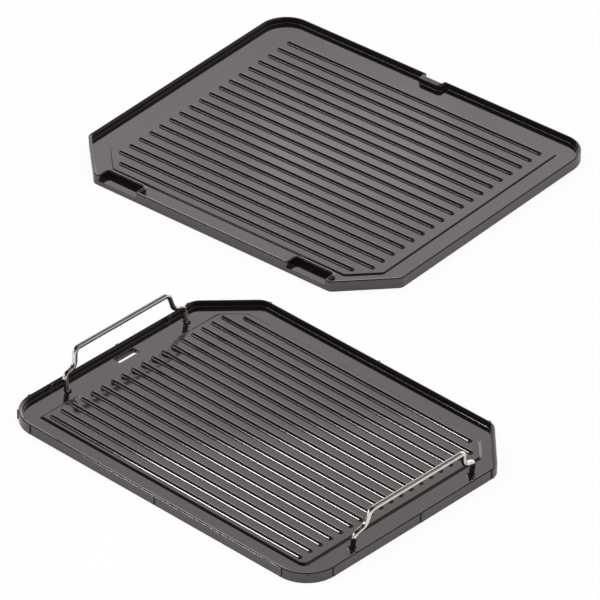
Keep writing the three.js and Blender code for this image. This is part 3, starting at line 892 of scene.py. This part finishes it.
def makeFloor():
    half = paleFloor["half"]
    mesh = bpy.data.meshes.new("floor")
    corners = [(-half, -half, 0), (half, -half, 0), (half, half, 0), (-half, half, 0)]
    mesh.from_pydata(corners, [], [(0, 1, 2, 3)])
    mesh.materials.append(floorMaterial())
    floor = bpy.data.objects.new("floor", mesh)
    scene.collection.objects.link(floor)


# Brightness of the room in reflections, by the height of the direction: a pale wall behind the plates that
# fades out to the front and the right, and the front with the dim ceiling
room = dict(
    ambient=0.75, backStart=(0, 0.3), besideLevel=0.42, besideEnd=(0.61, 0.7), besideTop=(0.5, 0.54),
    rightLevel=0.3, rightStart=(0.1, 0.4),
    wall=[
        (0, 1.7), (0.08, 1.8), (0.36, 1.9), (0.454, 1.5), (0.535, 1.45), (0.5475, 1.5), (0.5544, 1.27),
        (0.5698, 1.1), (0.5756, 1.0), (0.5832, 0.9), (0.65, 0.88), (0.68, 0.02), (1, 0.02),
    ],
    front=[(0, 0.6), (0.3, 0.6), (0.42, 0.03), (1, 0.02)],
)


# Brightness by height from stops of (height, level), the first of them at 0 and the last at 1
def levels(tree, height, stops):
    ramp = tree.nodes.new("ShaderNodeValToRGB")
    marks = ramp.color_ramp.elements
    for place, _ in stops[1:-1]:
        marks.new(place)
    for mark, (_, level) in zip(marks, stops):
        mark.color = (level, level, level, 1)
    tree.links.new(height, ramp.inputs[0])
    return ramp.outputs["Color"]


def makeRoom():
    world = bpy.data.worlds.new("paleRoom")
    scene.world = world
    world.use_nodes = True
    tree = world.node_tree
    rays = addNode(tree, "ShaderNodeLightPath", {})
    toward = tree.nodes.new("ShaderNodeTexCoord").outputs["Generated"]
    toward = addNode(tree, "ShaderNodeSeparateXYZ", {0: toward})
    behind = spread(tree, toward["Y"], 0, 1, *room["backStart"])
    beside = spread(tree, toward["Y"], room["besideLevel"], 1, *room["besideEnd"])
    beside = maths(tree, "MAXIMUM", beside, spread(tree, toward["Z"], 0, 1, *room["besideTop"]))
    right = spread(tree, toward["X"], 1, room["rightLevel"], *room["rightStart"])
    mirrored = levels(tree, toward["Z"], room["wall"])
    for share in (behind, beside, right):
        mirrored = maths(tree, "MULTIPLY", mirrored, share)
    mirrored = maths(tree, "MAXIMUM", mirrored, levels(tree, toward["Z"], room["front"]))
    plain = spread(tree, rays["Is Camera Ray"], room["ambient"], 1, 0, 1)
    inputs = {0: rays["Is Glossy Ray"], 2: plain, 3: mirrored}  # the mix node's number sockets are 2 and 3
    strength = addNode(tree, "ShaderNodeMix", inputs)[0]
    background = tree.nodes["Background"]
    background.inputs["Color"].default_value = (1, 1, 1, 1)
    tree.links.new(strength, background.inputs["Strength"])


# key draws the white lines on the ribs, wash the grey ones, sheen the paler middle of the upper plate, and
# fill lights everything a little. Lengths are in metres, and radiance is how bright a lamp's reflection is.
lamps = dict(
    key=dict(
        toward=(-0.574, -0.748, 0.333), distance=0.6, aim=(0.08, -0.065, 0), size=(0.17, 0.15),
        radiance=47, spread=14, colour=(0.9, 1, 1),
    ),
    wash=dict(
        toward=(-0.574, -0.723, 0.384), distance=2.4, aim=(-0.1, 0.14, 0), size=(1.3, 0.28),
        radiance=4.6, spread=180, colour=(1, 1, 1),
    ),
    sheen=dict(
        toward=(-0.574, 0.596, 0.562), distance=1.4, aim=(-0.225, 0.335, 0), size=(0.17, 0.08),
        radiance=0.48, spread=180, colour=(1, 1, 1),
    ),
    fill=dict(
        toward=(0.25, 0.35, 0.9), distance=3, aim=(-0.1, 0.14, 0), size=(1.8, 1.8),
        radiance=0.2, spread=180, colour=(1, 1, 1),
    ),
)


def makeLamp(name, lamp):
    data = bpy.data.lights.new(name, "AREA")
    data.shape = "RECTANGLE"
    data.size, data.size_y = lamp["size"]
    half = math.radians(lamp["spread"] / 2)
    gathered = 1 if lamp["spread"] == 180 else 1 - half / math.tan(half)  # a narrow beam is brighter
    data.spread = 2 * half
    data.color = lamp["colour"]
    data.energy = math.pi * lamp["radiance"] * gathered * lamp["size"][0] * lamp["size"][1]
    obj = bpy.data.objects.new(name, data)
    toward = Vector(lamp["toward"]).normalized()
    obj.location = Vector(lamp["aim"]) + toward * lamp["distance"]
    obj.rotation_euler = toward.to_track_quat("Z", "Y").to_euler()
    scene.collection.objects.link(obj)


camera = dict(
    azimuth=43.89, elevation=34.19, distance=5.71429, aim=(-0.10122, 0.13812, 0),
    lens=480, sensor=36, farthest=100,
)


def makeCamera():
    data = bpy.data.cameras.new("camera")
    data.sensor_width = camera["sensor"]
    data.lens = camera["lens"]
    data.clip_end = camera["farthest"]
    obj = bpy.data.objects.new("camera", data)
    a, e = math.radians(camera["azimuth"]), math.radians(camera["elevation"])
    back = Vector((math.sin(a) * math.cos(e), -math.cos(a) * math.cos(e), math.sin(e)))
    obj.location = Vector(camera["aim"]) + back * camera["distance"]
    obj.rotation_euler = back.to_track_quat("Z", "Y").to_euler()
    scene.collection.objects.link(obj)
    scene.camera = obj


def paint(obj, material):
    obj.data.materials.clear()
    obj.data.materials.append(material)
    return obj


scene.view_settings.view_transform = "Standard"
makeCamera()
makeRoom()
makeFloor()
for name, lamp in lamps.items():
    makeLamp(name, lamp)
film, wear = sprayedFilm(), edgeWear()
coating, polished, spring = coatingMaterial(film, wear), wireMaterial(wear), springMaterial(wear)
print("stage: studio and finishes")

lowerCasting = paint(lowerPlate(), coating)
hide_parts("lower_plate")
upperCasting = paint(upperPlate(), coating)
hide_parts("upper_plate")
print("stage: castings")

rowNodes = rowTree("setOut")
lowerPieces = [lowerCasting, *ribs("lowerRibs", rowNodes, lower, 1, coating, Matrix())]
lowerPieces.append(nubs(rowNodes, coating))
upperPieces = [upperCasting, *ribs("upperRibs", rowNodes, upper, -1, coating, upperMatrix())]
for body, pieces in (("lower_plate", lowerPieces), ("upper_plate", upperPieces)):
    for piece in pieces:
        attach(piece, body)
print("stage: ribs and nubs")

for side in ("left", "right"):
    name, place = f"{side}Wire", handleMatrix(side)
    wire = smooth(paint(toObject(name, wireMesh(name), place), polished), shading["wireAngle"])
    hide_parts(f"{side}_handle")
    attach(wire, f"{side}_handle")
    for end, sign in (("front", -1), ("back", 1)):
        name, turned = f"{side}{end.title()}Clip", sign if side == "right" else -sign
        spot = place @ Matrix.Translation((0, turned * handle["footSpan"] / 2, -washerDepth()))
        clip = smooth(paint(toObject(name, washerMesh(name), spot), spring), shading["wireAngle"])
        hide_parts(f"{side}_{end}_washer")
        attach(clip, f"{side}_handle")
print("stage: handles")
